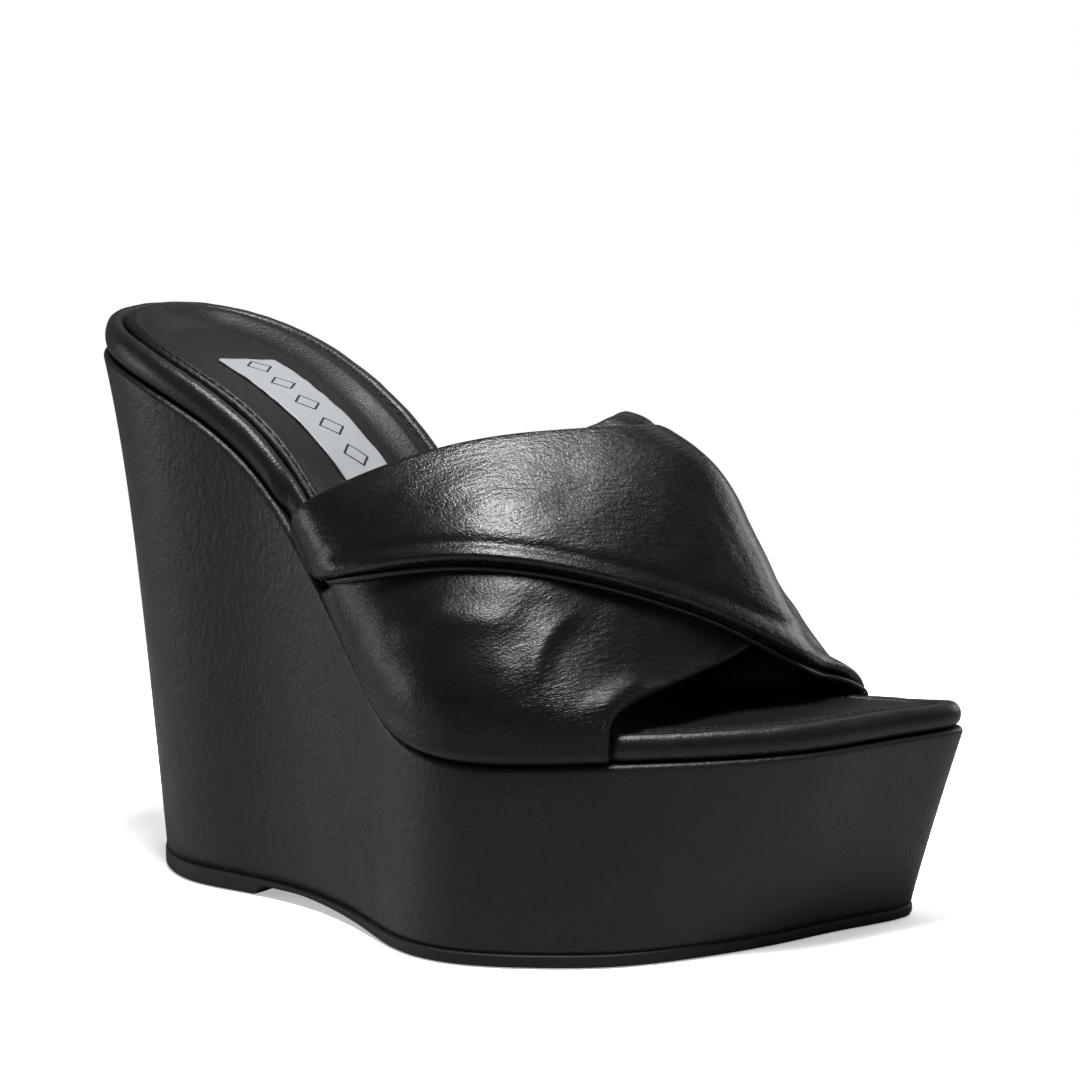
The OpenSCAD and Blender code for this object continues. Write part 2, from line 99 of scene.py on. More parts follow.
def weights(f):
    return [(1 - f) ** 3 / 6, (3 * f ** 3 - 6 * f * f + 4) / 6,
            (-3 * f ** 3 + 3 * f * f + 3 * f + 1) / 6, f ** 3 / 6]


def round_curve(c, t):
    """Points at t on a closed smooth curve round its control points."""
    t = np.asarray(t, float)
    i = np.floor(t).astype(int)
    w = weights((t - i)[..., None])
    return sum(w[k] * c[(i + k - 1) % len(c)] for k in range(4))


def open_curve(c, t):
    """Values at t on an open smooth curve that starts and ends on its end values."""
    c = np.asarray(c, float)
    t = np.asarray(t, float)
    i = np.clip(np.floor(t).astype(int), 0, len(c) - 2)
    w = weights(t - i)
    ends = np.concatenate([[2 * c[0] - c[1]], c, [2 * c[-1] - c[-2]]])
    return sum(w[k] * ends[i + k] for k in range(4))


def smooth(a, b, x):
    f = np.clip((np.asarray(x, float) - a) / (b - a), 0, 1)
    return f * f * (3 - 2 * f)


def unit(v):
    return v / (np.linalg.norm(v, axis=-1, keepdims=True) + 1e-12)


def squarish(c, n):
    """A coordinate c on the unit circle, drawn out towards a square by n."""
    return np.sign(c) * np.abs(c) ** (2 / n)


def edge_height(x):
    return open_curve(EDGE_Z, np.asarray(x, float) / STEP_X + 1)


def over_edge(x, off):
    """Height of a layer that lies off above the wedge's edge, square to it."""
    slope = edge_height(x + 0.5) - edge_height(x - 0.5)
    return edge_height(x) + off * np.sqrt(1 + slope * slope)


def toe_dip(x, y):
    """How much lower the padded edge stands on the inner side of the toes."""
    return 1.6 * smooth(8, 34, y) * smooth(150, 185, x) * (1 - smooth(215, 234, x))


def outline_moves():
    a = unit(OUTLINE - np.roll(OUTLINE, 1, 0))
    b = unit(np.roll(OUTLINE, -1, 0) - OUTLINE)
    m = unit(np.stack([-a[:, 1] - b[:, 1], a[:, 0] + b[:, 0]], -1))
    return m / np.sum(m * np.stack([-a[:, 1], a[:, 0]], -1), -1, keepdims=True)


MOVES = outline_moves()


def top_xy(t, inset=0):
    inset = np.asarray(inset, float)
    return round_curve(OUTLINE, t) + inset[..., None] * round_curve(MOVES, t)


def bottom_of(p):
    x, y = p[..., 0], p[..., 1]
    bx = x + 19 * (1 - smooth(5, 85, x)) - 14 * smooth(175, 225, x)
    by = y * (1 - 0.05 * (1 - smooth(20, 80, x))
              + 0.035 * smooth(110, 140, x) * (1 - smooth(180, 215, x)))
    return np.stack([bx, by], -1)


def flare(h, x):
    front = smooth(60, 180, x)
    a = np.maximum(h, 0)
    return (1 - front) * (0.76 * h + 0.24 * a ** 5) + front * np.where(h < 0, h, a ** 1.1)


def wall_point(t, z, inset):
    """Point on the wedge's wall at height z, moved inwards."""
    p = top_xy(t)
    q = bottom_of(p)
    k = flare(z / edge_height(p[..., 0]), p[..., 0])[..., None]
    s = q + (p - q) * k + np.asarray(inset, float)[..., None] * round_curve(MOVES, t)
    return np.concatenate([s, np.asarray(z, float)[..., None]], -1)


def sole_top(x):
    return HEEL_PAD + (SOLE_FRONT - HEEL_PAD) * np.clip(x / WAIST_END, 0, 1)


def even_laps(n):
    """n places on the outline at even spacing along it."""
    t = np.linspace(0, LAP, 4001)
    p = top_xy(t)
    run = np.concatenate([[0], np.cumsum(np.linalg.norm(np.diff(p, axis=0), axis=1))])
    return np.interp(np.arange(n) * run[-1] / n, run, t)


def crossings(xs, inset):
    """Places on both sides of a moved outline where it crosses each x."""
    sides = []
    for a, b in ((HEEL_T, TOE_T), (TOE_T, LAP + HEEL_T)):
        t = np.linspace(a, b, 3000)
        x = top_xy(t, inset)[:, 0]
        order = np.argsort(x)
        sides.append(np.interp(xs, x[order], t[order]))
    return sides


def stations(inset, n):
    """x of n stations across a moved outline, closer together at both ends."""
    a, b = top_xy(HEEL_T, inset)[0], top_xy(TOE_T, inset)[0]
    k = np.linspace(0, 1, n)
    ease = 0.5 - 0.5 * np.cos(math.pi * k)
    return a + 0.03 + (b - a - 0.06) * (0.35 * k + 0.65 * ease)


# ---- The surface under the straps ----

def drawn_point(s, u):
    """The drawn surface: s rear to front, u over the foot from the outer side."""
    s, u = np.broadcast_arrays(np.asarray(s, float), np.asarray(u, float))
    outer = u < 0.5
    t = np.where(outer, OUTER_REACH[0] + (OUTER_REACH[1] - OUTER_REACH[0]) * s,
                 INNER_REACH[0] + (INNER_REACH[1] - INNER_REACH[0]) * s)
    a = np.clip(np.minimum(u, 1 - u), 0, 1)
    foot = top_xy(t, np.full(t.shape, STRAP_INSET))
    rand_top = RAND_HEIGHT + 0.4 - toe_dip(foot[..., 0], foot[..., 1])
    z = over_edge(foot[..., 0], rand_top * np.minimum(1, a / HUG))
    turn = math.pi / 2 * np.maximum(0, a - HUG) / (0.5 - HUG)
    n = np.where(outer, ARCH_OUTER, ARCH_INNER[0] + (ARCH_INNER[1] - ARCH_INNER[0]) * s)
    over = 1 - np.maximum(0, np.cos(turn)) ** (2 / n)
    up = np.sin(turn) ** (2 / n)
    q = s[..., None]
    top = (1 - q) ** 2 * RIDGE[0] + 2 * q * (1 - q) * RIDGE[1] + q * q * RIDGE[2]
    return np.stack([foot[..., 0] + (top[..., 0] - foot[..., 0]) * over,
                     foot[..., 1] + (top[..., 1] - foot[..., 1]) * over,
                     z + (top[..., 2] - z) * up], -1)


def foot_point(s, u):
    """The drawn surface with its ridge rounded off and its inner side reshaped."""
    s, u = np.broadcast_arrays(np.asarray(s, float), np.asarray(u, float))
    reach = 0.052 * smooth(0.26, 0.44, u) * (1 - smooth(0.62, 0.82, u))
    point = sum(w * drawn_point(s, u + k * reach)
                for k, w in ((-1.5, 0.09), (-1, 0.15), (-0.5, 0.17), (0, 0.18),
                             (0.5, 0.17), (1, 0.15), (1.5, 0.09)))
    fuller = (2.6 * np.exp(-((s - 0.46) / 0.14) ** 2 - ((u - 0.57) / 0.07) ** 2)
              - 3.4 * np.exp(-((s - 0.83) / 0.13) ** 2 - ((u - 0.67) / 0.09) ** 2))
    return point + fuller[..., None] * INNER_WAY


def strap_normal(s, u):
    e = 0.006
    return unit(np.cross(foot_point(s + e, u) - foot_point(s - e, u),
                         foot_point(s, np.minimum(1, u + e))
                         - foot_point(s, np.maximum(0, u - e))))


def strap_ride(s, u):
    """How far the upper strap rides above the surface, over the lower one."""
    b = open_curve(UNDER[1], u * 4)
    return ((STRAP_FULL + STRAP_GAP) * smooth(0, 0.13, np.minimum(u, 1 - u))
            * (1 - smooth(b + 0.03, b + 0.28, s) * smooth(0.5, 0.72, u)))


# ---- Meshes ----

rand_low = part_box("edge_rand")[0]
plan = top_xy(np.linspace(0, LAP, 2000), RAND_INSET)
SHIFT = np.array([plan[:, 0].min() - rand_low.x * 1000,
                  plan[:, 1].min() - rand_low.y * 1000, 0])


def to_frame(points):
    return (np.asarray(points, float) - SHIFT) / 1000


def mesh_piece(name, points, faces, nodes, material, grain=None):
    """A smooth-shaded piece on the root body that stands for the named CAD nodes."""
    mesh = bpy.data.meshes.new(name)
    mesh.from_pydata(to_frame(points).tolist(), [], [tuple(f) for f in faces])
    mesh.update()
    mesh.polygons.foreach_set("use_smooth", [True] * len(mesh.polygons))
    if grain is not None:
        data = mesh.attributes.new("grain", "FLOAT_VECTOR", "POINT").data
        data.foreach_set("vector", np.asarray(grain, np.float32).ravel())
    mesh.materials.append(material)
    obj = bpy.data.objects.new(name, mesh)
    bpy.context.scene.collection.objects.link(obj)
    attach(obj, "root")
    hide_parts(*nodes)
    return obj


def grid_faces(rows, cols, close_rows=False, close_cols=False, flip=False):
    r = np.arange(rows if close_rows else rows - 1)
    c = np.arange(cols if close_cols else cols - 1)
    i, j = np.meshgrid(r, c, indexing="ij")
    i2, j2 = (i + 1) % rows, (j + 1) % cols
    q = np.stack([i * cols + j, i * cols + j2, i2 * cols + j2, i2 * cols + j], -1)
    q = q.reshape(-1, 4)
    return q[:, ::-1].tolist() if flip else q.tolist()


def ring_band(name, profile, laps, nodes, material):
    """A closed band: profile(t) gives the section's points for every place t."""
    p = profile(laps)
    rows, cols = p.shape[:2]
    return mesh_piece(name, p.reshape(-1, 3), grid_faces(rows, cols, True, True, True),
                      nodes, material)


def plane_solid(name, low, high, nodes, material, grain=None):
    """A closed sheet between two grids of points that face each other."""
    rows, cols = high.shape[:2]
    n = rows * cols
    faces = grid_faces(rows, cols, flip=True)
    faces += [[v + n for v in f[::-1]] for f in faces]
    rim = ([i * cols for i in range(rows)]
           + [(rows - 1) * cols + j for j in range(1, cols)]
           + [i * cols + cols - 1 for i in range(rows - 2, -1, -1)]
           + [j for j in range(cols - 2, 0, -1)])
    faces += [[a, n + a, n + b, b] for a, b in zip(rim, rim[1:] + rim[:1])]
    points = np.concatenate([high.reshape(-1, 3), low.reshape(-1, 3)])
    if grain is not None:
        grain = np.concatenate([grain.reshape(-1, 3)] * 2)
    return mesh_piece(name, points, faces, nodes, material, grain)


def soft_noise(p, scale, octaves=2):
    """Smooth, repeatable bumps between about -1 and 1 at points p."""
    out = np.zeros(p.shape[:-1])
    total = 0
    for k in range(octaves):
        waves = np.random.default_rng(3 + k).normal(size=(9, 4))
        d = unit(waves[:, :3]) * (2 * math.pi / scale * 1.9 ** k)
        phase = waves[:, 3] * 7
        out += 0.55 ** k * np.sin(p @ d.T + phase).sum(-1) / 3.2
        total += 0.55 ** k
    return out / total


def plan_noise(p, scale):
    """soft_noise over the plan view of points p."""
    return soft_noise(np.concatenate([p[..., :2], 0 * p[..., :1]], -1), scale)


# ---- Materials ----

def nodes_of(name):
    mat = bpy.data.materials.new(name)
    mat.use_nodes = True
    tree = mat.node_tree
    bsdf = tree.nodes["Principled BSDF"]

    def add(kind, **values):
        node = tree.nodes.new(kind)
        for key, value in values.items():
            if hasattr(node, key):
                setattr(node, key, value)
            else:
                node.inputs[key.replace("_", " ")].default_value = value
        return node

    def link(a, b):
        tree.links.new(a, b)
    return mat, bsdf, add, link


def scaled(add, link, source, scale):
    m = add("ShaderNodeMapping")
    m.inputs["Scale"].default_value = scale
    link(source, m.inputs["Vector"])
    return m.outputs["Vector"]


def ramped(add, link, value, low, high, a=0.0, b=1.0):
    """value, taken from the range low..high to a..b."""
    r = add("ShaderNodeMapRange")
    r.inputs["From Min"].default_value = low
    r.inputs["From Max"].default_value = high
    r.inputs["To Min"].default_value = a
    r.inputs["To Max"].default_value = b
    link(value, r.inputs["Value"])
    return r.outputs["Result"]


def two_tone(add, link, share, dark, light):
    tone = add("ShaderNodeMix", data_type="RGBA")
    tone.inputs["A"].default_value = (*dark, 1)
    tone.inputs["B"].default_value = (*light, 1)
    link(share, tone.inputs["Factor"])
    return tone.outputs["Result"]


def bumped(add, link, height, distance, strength=1.0, under=None):
    b = add("ShaderNodeBump")
    b.inputs["Distance"].default_value = distance
    b.inputs["Strength"].default_value = strength
    link(height, b.inputs["Height"])
    if under is not None:
        link(under, b.inputs["Normal"])
    return b.outputs["Normal"]


def leather(name, dark, light, rough, grain_mm, grain_depth, crease=(0, (1, 1, 1), 0),
            own_grain=False, specular=0.5, patch_mm=18):
    """Leather: pebbled grain, directional creases, uneven sheen and tone.

    crease is (depth in mm, stretch along each axis, size in mm). With own_grain
    the pattern follows the mesh's grain attribute, else the object's axes."""
    mat, bsdf, add, link = nodes_of(name)
    if own_grain:
        mm = add("ShaderNodeAttribute", attribute_name="grain").outputs["Vector"]
    else:
        source = add("ShaderNodeTexCoord").outputs["Object"]
        mm = scaled(add, link, source, (1000,) * 3)
    patches = add("ShaderNodeTexNoise", Scale=1 / patch_mm, Detail=4.0, Roughness=0.6)
    link(mm, patches.inputs["Vector"])
    share = ramped(add, link, patches.outputs["Fac"], 0.35, 0.65)
    link(two_tone(add, link, share, dark, light), bsdf.inputs["Base Color"])
    sheen = add("ShaderNodeTexNoise", Scale=1 / (patch_mm * 0.23), Detail=5.0, Roughness=0.65)
    link(mm, sheen.inputs["Vector"])
    link(ramped(add, link, sheen.outputs["Fac"], 0.3, 0.7, rough[0], rough[1]),
         bsdf.inputs["Roughness"])
    cells = add("ShaderNodeTexVoronoi", feature="DISTANCE_TO_EDGE", Scale=1 / grain_mm)
    wobble = add("ShaderNodeTexNoise", Scale=0.8 / grain_mm, Detail=2.0)
    link(mm, wobble.inputs["Vector"])
    shifted = add("ShaderNodeVectorMath", operation="MULTIPLY_ADD")
    link(wobble.outputs["Color"], shifted.inputs[0])
    shifted.inputs[1].default_value = (grain_mm * 0.9,) * 3
    link(mm, shifted.inputs[2])
    link(shifted.outputs["Vector"], cells.inputs["Vector"])
    pores = ramped(add, link, cells.outputs["Distance"], 0.0, 0.28)
    normal = bumped(add, link, pores, grain_depth / 1000)
    depth, stretch, size = crease
    if depth:
        lines = add("ShaderNodeTexNoise", Scale=1 / size, Detail=4.0, Roughness=0.55)
        link(scaled(add, link, mm, stretch), lines.inputs["Vector"])
        normal = bumped(add, link, lines.outputs["Fac"], depth / 1000, under=normal)
    link(normal, bsdf.inputs["Normal"])
    bsdf.inputs["Specular IOR Level"].default_value = specular
    return mat


def plain(name, dark, light, rough, size_mm, depth, metallic=0.0, stretch=(1, 1, 1)):
    """Foam, board, rubber or metal: grained colour, uneven roughness and bump."""
    mat, bsdf, add, link = nodes_of(name)
    source = add("ShaderNodeTexCoord").outputs["Object"]
    mm = scaled(add, link, source, tuple(1000 * s for s in stretch))
    grain = add("ShaderNodeTexNoise", Scale=1 / size_mm, Detail=4.0, Roughness=0.6)
    link(mm, grain.inputs["Vector"])
    share = ramped(add, link, grain.outputs["Fac"], 0.35, 0.65)
    link(two_tone(add, link, share, dark, light), bsdf.inputs["Base Color"])
    link(ramped(add, link, grain.outputs["Fac"], 0.3, 0.7, rough[0], rough[1]),
         bsdf.inputs["Roughness"])
    link(bumped(add, link, grain.outputs["Fac"], depth / 1000), bsdf.inputs["Normal"])
    bsdf.inputs["Metallic"].default_value = metallic
    return mat


STRAP_TONES = (0.0075, 0.0074, 0.0075), (0.011, 0.0107, 0.0108)
STRAP_GRAIN = 0.95, 0.026, (0.17, (0.5, 1.2, 1), 1.15), True
STRAP = leather("strap_leather", *STRAP_TONES, (0.24, 0.32), *STRAP_GRAIN)
STRAP_UNDER = leather("strap_leather_under", *STRAP_TONES, (0.29, 0.38), *STRAP_GRAIN,
                      specular=0.38)
WEDGE = leather("wedge_leather", (0.0155, 0.0152, 0.0162), (0.0195, 0.019, 0.02),
                (0.34, 0.46), 0.8, 0.024, (0.22, (1, 1, 0.6), 1.4), patch_mm=30)
RAND = leather("rand_leather", (0.012, 0.012, 0.013), (0.016, 0.0155, 0.0165),
               (0.3, 0.4), 0.8, 0.018, (0.12, (1, 1, 1), 0.9))
SOCK = leather("sock_leather", (0.009, 0.0088, 0.0092), (0.013, 0.0127, 0.0132),
               (0.36, 0.46), 0.7, 0.02, (0.1, (1, 1, 1), 0.9), specular=0.3)
LINING = leather("strap_lining", (0.012, 0.0115, 0.011), (0.017, 0.0165, 0.016),
                 (0.5, 0.65), 0.5, 0.03)
PIPING = leather("piping_leather", (0.009, 0.009, 0.0095), (0.012, 0.012, 0.0125),
                 (0.28, 0.38), 0.5, 0.02)
RUBBER = plain("outsole_rubber", (0.011, 0.011, 0.0115), (0.016, 0.016, 0.0165),
               (0.5, 0.66), 0.5, 0.06)
THREAD = plain("thread", (0.009, 0.009, 0.0095), (0.014, 0.014, 0.015), (0.4, 0.55), 0.25, 0.05)
FOAM = plain("padding_foam", (0.74, 0.71, 0.63), (0.86, 0.84, 0.78), (0.8, 0.95), 0.7, 0.2)
CORE = plain("wedge_foam", (0.6, 0.56, 0.48), (0.74, 0.7, 0.62), (0.7, 0.85), 0.9, 0.15)
CORK = plain("filler_cork", (0.42, 0.27, 0.15), (0.66, 0.47, 0.29), (0.75, 0.9), 1.6, 0.2)
BOARD = plain("insole_fibre", (0.4, 0.31, 0.21), (0.52, 0.42, 0.3), (0.7, 0.85), 0.8, 0.08)
STEEL = plain("shank_steel", (0.42, 0.43, 0.45), (0.58, 0.59, 0.61), (0.25, 0.42), 1.2, 0.02,
              1.0, (0.08, 1, 1))
ZINC = plain("fastener_steel", (0.5, 0.51, 0.53), (0.66, 0.67, 0.7), (0.22, 0.36), 0.8, 0.01,
             1.0)
BRASS = plain("rivet_brass", (0.62, 0.45, 0.2), (0.78, 0.6, 0.3), (0.22, 0.38), 0.8, 0.01, 1.0)


def patch_material():
    """Silvery coated patch printed with a plain row of lozenges."""
    mat, bsdf, add, link = nodes_of("label_foil")
    place = add("ShaderNodeAttribute", attribute_name="grain").outputs["Vector"]
    xyz = add("ShaderNodeSeparateXYZ")
    link(place, xyz.inputs[0])
    weave = add("ShaderNodeTexNoise", Scale=3.0, Detail=3.0)
    link(place, weave.inputs["Vector"])

    def math_node(op, *values):
        n = add("ShaderNodeMath", operation=op)
        for k, v in enumerate(values):
            if isinstance(v, (int, float)):
                n.inputs[k].default_value = v
            else:
                link(v, n.inputs[k])
        return n.outputs[0]
    # A row of lozenges along the middle of the patch
    half_pitch = 3.8
    along = math_node("PINGPONG", math_node("ADD", xyz.outputs["X"], half_pitch), half_pitch)
    across = math_node("ABSOLUTE", xyz.outputs["Y"])
    shape = math_node("ADD", math_node("MULTIPLY", along, 1.25),
                      math_node("MULTIPLY", across, 0.8))
    ink = math_node("LESS_THAN", shape, 3.4)
    hole = math_node("LESS_THAN", shape, 2.7)
    printed = math_node("SUBTRACT", ink, hole)
    tone = two_tone(add, link, weave.outputs["Fac"], (0.43, 0.45, 0.485), (0.5, 0.52, 0.55))
    inked = add("ShaderNodeMix", data_type="RGBA")
    link(printed, inked.inputs["Factor"])
    link(tone, inked.inputs["A"])
    inked.inputs["B"].default_value = (0.02, 0.02, 0.022, 1)
    link(inked.outputs["Result"], bsdf.inputs["Base Color"])
    link(ramped(add, link, weave.outputs["Fac"], 0.3, 0.7, 0.34, 0.5), bsdf.inputs["Roughness"])
    link(bumped(add, link, weave.outputs["Fac"], 0.00004), bsdf.inputs["Normal"])
    return mat


LABEL = patch_material()

# Hidden pieces that stay as the CAD made them
for node, material in (("wedge_core", CORE), ("bottom_filler", CORK), ("steel_shank", STEEL),
                       ("insole_board", BOARD), ("shank_rivets", BRASS), ("heel_screw", ZINC),
                       ("heel_nails", ZINC)):
    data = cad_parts[node].data
    data.materials.clear()
    data.materials.append(material)


# ---- Wedge cover ----

def cover_section(t):
    """Up the wall, round the shoulder, in under the rand and down the inside."""
    r = 1.5
    margin = 1.15
    sole_gap = 0.05
    x = top_xy(t)[:, 0][:, None]
    low = sole_top(bottom_of(top_xy(t))[:, 0])[:, None] + sole_gap
    tt = t[:, None]
    v = np.linspace(0, 1, 34)[None, :]
    top = over_edge(x, -r)
    z = low + (top - low) * v
    wall = wall_point(tt + 0 * v, z, 0 * z)
    turn = np.linspace(0, math.pi / 2, 9)[None, 1:]
    inset = r * (1 - np.cos(turn)) + 0 * x
    shoulder = wall_point(tt + 0 * turn, over_edge(x, -r * (1 - np.sin(turn))), inset)
    over_in = np.array([3.2, 5, 8, FOLD_INSET])[None, :] + 0 * x
    flat = top_xy(tt + 0 * over_in, over_in)
    flat = np.concatenate([flat, over_edge(flat[..., 0], 0.0)[..., None]], -1)
    under = flat[:, -1:].copy()
    under[..., 2] -= margin
    back = np.linspace(1, 0, 8)[None, :]
    inner_top = over_edge(x, -1.2)
    zi = low + (inner_top - low) * back
    inner = wall_point(tt + 0 * back, zi, WRAP + 0 * zi)
    return np.concatenate([wall, shoulder, flat, under, inner], 1)


ring_band("wedge_cover", cover_section, even_laps(460), ["wedge_wrap"], WEDGE)


# ---- Outsole ----

def sole_bottom(x):
    """Height of the outsole's underside: a waist between heel and forefoot."""
    return np.interp(x, [PAD_END, WAIST_START, WAIST_SLOPE_END, WAIST_END],
                     [0, WAIST_LIFT, WAIST_LIFT, 0])


GROOVES = np.concatenate([np.arange(PAD_END - 6, 34, -GROOVE_PITCH),
                          np.arange(WAIST_END + 10, 215, GROOVE_PITCH)])


def tread(x):
    """1 inside a tread groove, else 0."""
    depth = 0 * x
    for a in GROOVES:
        b = a + GROOVE
        depth = np.maximum(depth, smooth(a - GROOVE_SIDE, a + GROOVE_SIDE, x)
                           * (1 - smooth(b - GROOVE_SIDE, b + GROOVE_SIDE, x)))
    return depth


def build_outsole():
    """A rim round the edge, and a grid under and over the space between its sides."""
    # Stations along x, at every edge of a groove and of the waist too
    edge = 3.0
    laps_t = np.linspace(0, LAP, 3000)
    ring = bottom_of(top_xy(laps_t)) + edge * round_curve(MOVES, laps_t)
    rear, front = np.argmin(ring[:, 0]), np.argmax(ring[:, 0])
    lo, hi = ring[rear, 0] + 0.02, ring[front, 0] - 0.02
    k = np.linspace(0, 1, 100)
    xs = lo + (hi - lo) * (0.4 * k + 0.6 * (0.5 - 0.5 * np.cos(math.pi * k)))
    groove_edges = np.concatenate([GROOVES + a + b for a in (0, GROOVE)
                                   for b in (-GROOVE_SIDE, GROOVE_SIDE)])
    inside = groove_edges[(groove_edges > lo) & (groove_edges < hi)]
    xs = np.unique(np.concatenate([xs, inside, [PAD_END, WAIST_START, WAIST_SLOPE_END,
                                                WAIST_END]]))
    # The place on the outline at every station, down one side and back up the other
    n = len(laps_t) - 1
    around = np.arange(rear, rear + n + 1)
    pts = ring[around % n]
    ts = laps_t[around % n] + np.where(around >= n, LAP, 0)
    j = int(np.argmax(pts[:, 0]))
    outer_t = np.interp(xs, pts[:j + 1, 0], ts[:j + 1])
    inner_t = np.interp(xs, pts[j:, 0][::-1], ts[j:][::-1])
    ts_all = np.concatenate([outer_t, inner_t[::-1]])
    # Section of the rim: underside, rounded lip, side and top
    r = 0.9
    lip = -SOLE_LIP
    q = bottom_of(top_xy(ts_all))
    x = q[:, 0]
    under, upper = sole_bottom(x), sole_top(x)
    quarter = np.linspace(0, math.pi / 2, 6)
    section = [(edge, under, 0), (lip + 3 * r, under, 0), (lip + 1.6 * r, under, 0)]
    section += [(lip + r * (1 - math.sin(a)), under, r * (1 - math.cos(a))) for a in quarter]
    section += [(lip + 0.7 * r * (1 - math.cos(a)), upper, -0.7 * r * (1 - math.sin(a)))
                for a in quarter]
    section += [(lip + 1.6 * r, upper, 0), (edge, upper, 0)]
    rim = np.stack([np.concatenate([q + inset * round_curve(MOVES, ts_all),
                                    (level + rise)[:, None]], 1)
                    for inset, level, rise in section], 1)
    m = len(xs)
    cols = rim.shape[1]
    points = [rim.reshape(-1, 3)]
    faces = grid_faces(2 * m, cols, True, False, True)
    # Underside and top between the two sides of the rim
    inner_cols = [0.25, 1.2, 2.4, 3.7, 3.95, 4.25, 4.6]
    share = np.linspace(0, 1, 9)
    start = len(points[0])
    for which, row in (("low", 0), ("high", cols - 1)):
        a, b = rim[:m, row], rim[m:, row][::-1]
        width = (b - a)[:, 1]
        place = [np.minimum(d, width / 2 - 0.01 * (len(inner_cols) - i)) / width
                 for i, d in enumerate(inner_cols)]
        mid = [place[-1] + (1 - 2 * place[-1]) * s for s in share[1:-1]]
        back = [1 - p for p in place[::-1]]
        ks = np.stack(place + mid + back, 1)
        grid = a[:, None] + (b - a)[:, None] * ks[..., None]
        if which == "low":
            deep = np.array([0, 0, 0, 0, 0.5, 1, 1] + [1] * 7 + [1, 1, 0.5, 0, 0, 0, 0])
            grid[..., 2] = sole_bottom(grid[..., 0]) + TREAD * tread(grid[..., 0]) * deep
        points.append(grid.reshape(-1, 3))
        w = grid.shape[1]
        index = np.zeros((m, w + 2), int)
        index[:, 1:-1] = start + np.arange(m * w).reshape(m, w)
        index[:, 0] = np.arange(m) * cols + row
        index[:, -1] = (2 * m - 1 - np.arange(m)) * cols + row
        start += m * w
        for i in range(m - 1):
            for c in range(w + 1):
                f = [index[i, c], index[i, c + 1], index[i + 1, c + 1], index[i + 1, c]]
                faces.append(f if which == "low" else f[::-1])
        # The rim's two end faces take in the end points of this grid
        for i, i2, ends in ((m - 1, m, index[-1]), (2 * m - 1, 0, index[0, ::-1])):
            if which == "low":
                faces[i * (cols - 1)] = [i2 * cols, i2 * cols + 1, i * cols + 1, *ends[:-1]]
            else:
                faces[(i + 1) * (cols - 1) - 1] = [i2 * cols + row - 1, *ends[::-1],
                                                   i * cols + row - 1]
    obj = mesh_piece("outsole_moulded", np.concatenate(points), faces,
                     ["outsole"], RUBBER)
    obj.modifiers.new("edges", "EDGE_SPLIT").split_angle = math.radians(50)


build_outsole()


# ---- Padded edge ----

def heel_lift(x):
    """How much fuller the padding stands round the heel."""
    return 2.0 * (1 - smooth(10, 90, x))


def strap_cover(t):
    """1 where a strap passes between the rand and the wedge's edge, else 0."""
    x = top_xy(t)[:, 0]
    outer = t % LAP < TOE_T
    rear = np.where(outer, 84, 98)
    front = np.where(outer, 180, 203)
    return smooth(rear - 4, rear, x) * (1 - smooth(front, front + 3, x))


def rand_section(t):
    """Section of the leather roll, narrower where a strap's end lies beside it."""
    n = 2.3
    outer_side = 0.6 + 1.5 * strap_cover(t)[:, None]
    inner_side = INNER_INSET - 0.15
    low = 0.08
    turn = np.linspace(0, 2 * math.pi, 30, endpoint=False)[None, :]
    across, up = squarish(np.cos(turn), n), squarish(np.sin(turn), n)
    lean = 0.35 * (up > 0) * up
    inset = ((outer_side + inner_side) / 2
             - (inner_side - outer_side) / 2 * across * (1 - 0.05 * (up + 1)) + lean)
    p = top_xy(t[:, None] + 0 * inset, inset)
    puff = 0.10 * plan_noise(p, 9)
    x = p[..., 0]
    high = RAND_HEIGHT + heel_lift(x) - toe_dip(x, p[..., 1])
    off = (high + low) / 2 + (high - low) / 2 * up + puff * (up > 0)
    return np.concatenate([p, over_edge(x, off)[..., None]], -1)


def padding_section(t):
    turn = np.linspace(0, 2 * math.pi, 16, endpoint=False)[None, :]
    inset = 4.0 - 1.2 * np.cos(turn) + 0 * t[:, None]
    p = top_xy(t[:, None] + 0 * inset, inset)
    return np.concatenate([p, over_edge(p[..., 0], 2.9 + 1.4 * np.sin(turn))[..., None]], -1)


ring_band("padded_rand", rand_section, even_laps(520), ["edge_rand"], RAND)
ring_band("rand_padding", padding_section, even_laps(260),
          ["edge_padding"], FOAM)


# ---- Footbed ----

sock_edge = top_xy(np.linspace(0, LAP, 900, endpoint=False), INNER_INSET)


def edge_distance(p):
    flat = p[..., :2].reshape(-1, 2)
    out = np.empty(len(flat))
    for k in range(0, len(flat), 4000):
        d = np.linalg.norm(flat[k:k + 4000, None] - sock_edge[None], axis=-1)
        out[k:k + 4000] = d.min(1)
    return out.reshape(p.shape[:-1])


LABEL_REAR, LABEL_LENGTH, LABEL_WIDTH = 45.2, 62, 19
LABEL_MIDDLE, LABEL_DRIFT, LABEL_SKEW = -3, -0.02, 0.2


def label_gap(p):
    """Distance outside the patch's outline, negative within it."""
    x, y = p[..., 0], p[..., 1]
    from_middle = y - LABEL_MIDDLE - LABEL_DRIFT * (x - LABEL_REAR)
    a = np.abs(x - LABEL_SKEW * from_middle - LABEL_REAR - LABEL_LENGTH / 2) - LABEL_LENGTH / 2
    b = np.abs(from_middle) - LABEL_WIDTH / 2
    return np.where((a > 0) & (b > 0), np.hypot(a, b), np.maximum(a, b))


def inlay_depth(p):
    """Depth of the furrow that the patch presses into the sock round itself."""
    return 0.5 * np.exp(-((label_gap(p) - 0.4) / 0.4) ** 2)


SEAM_INSET = 1.25


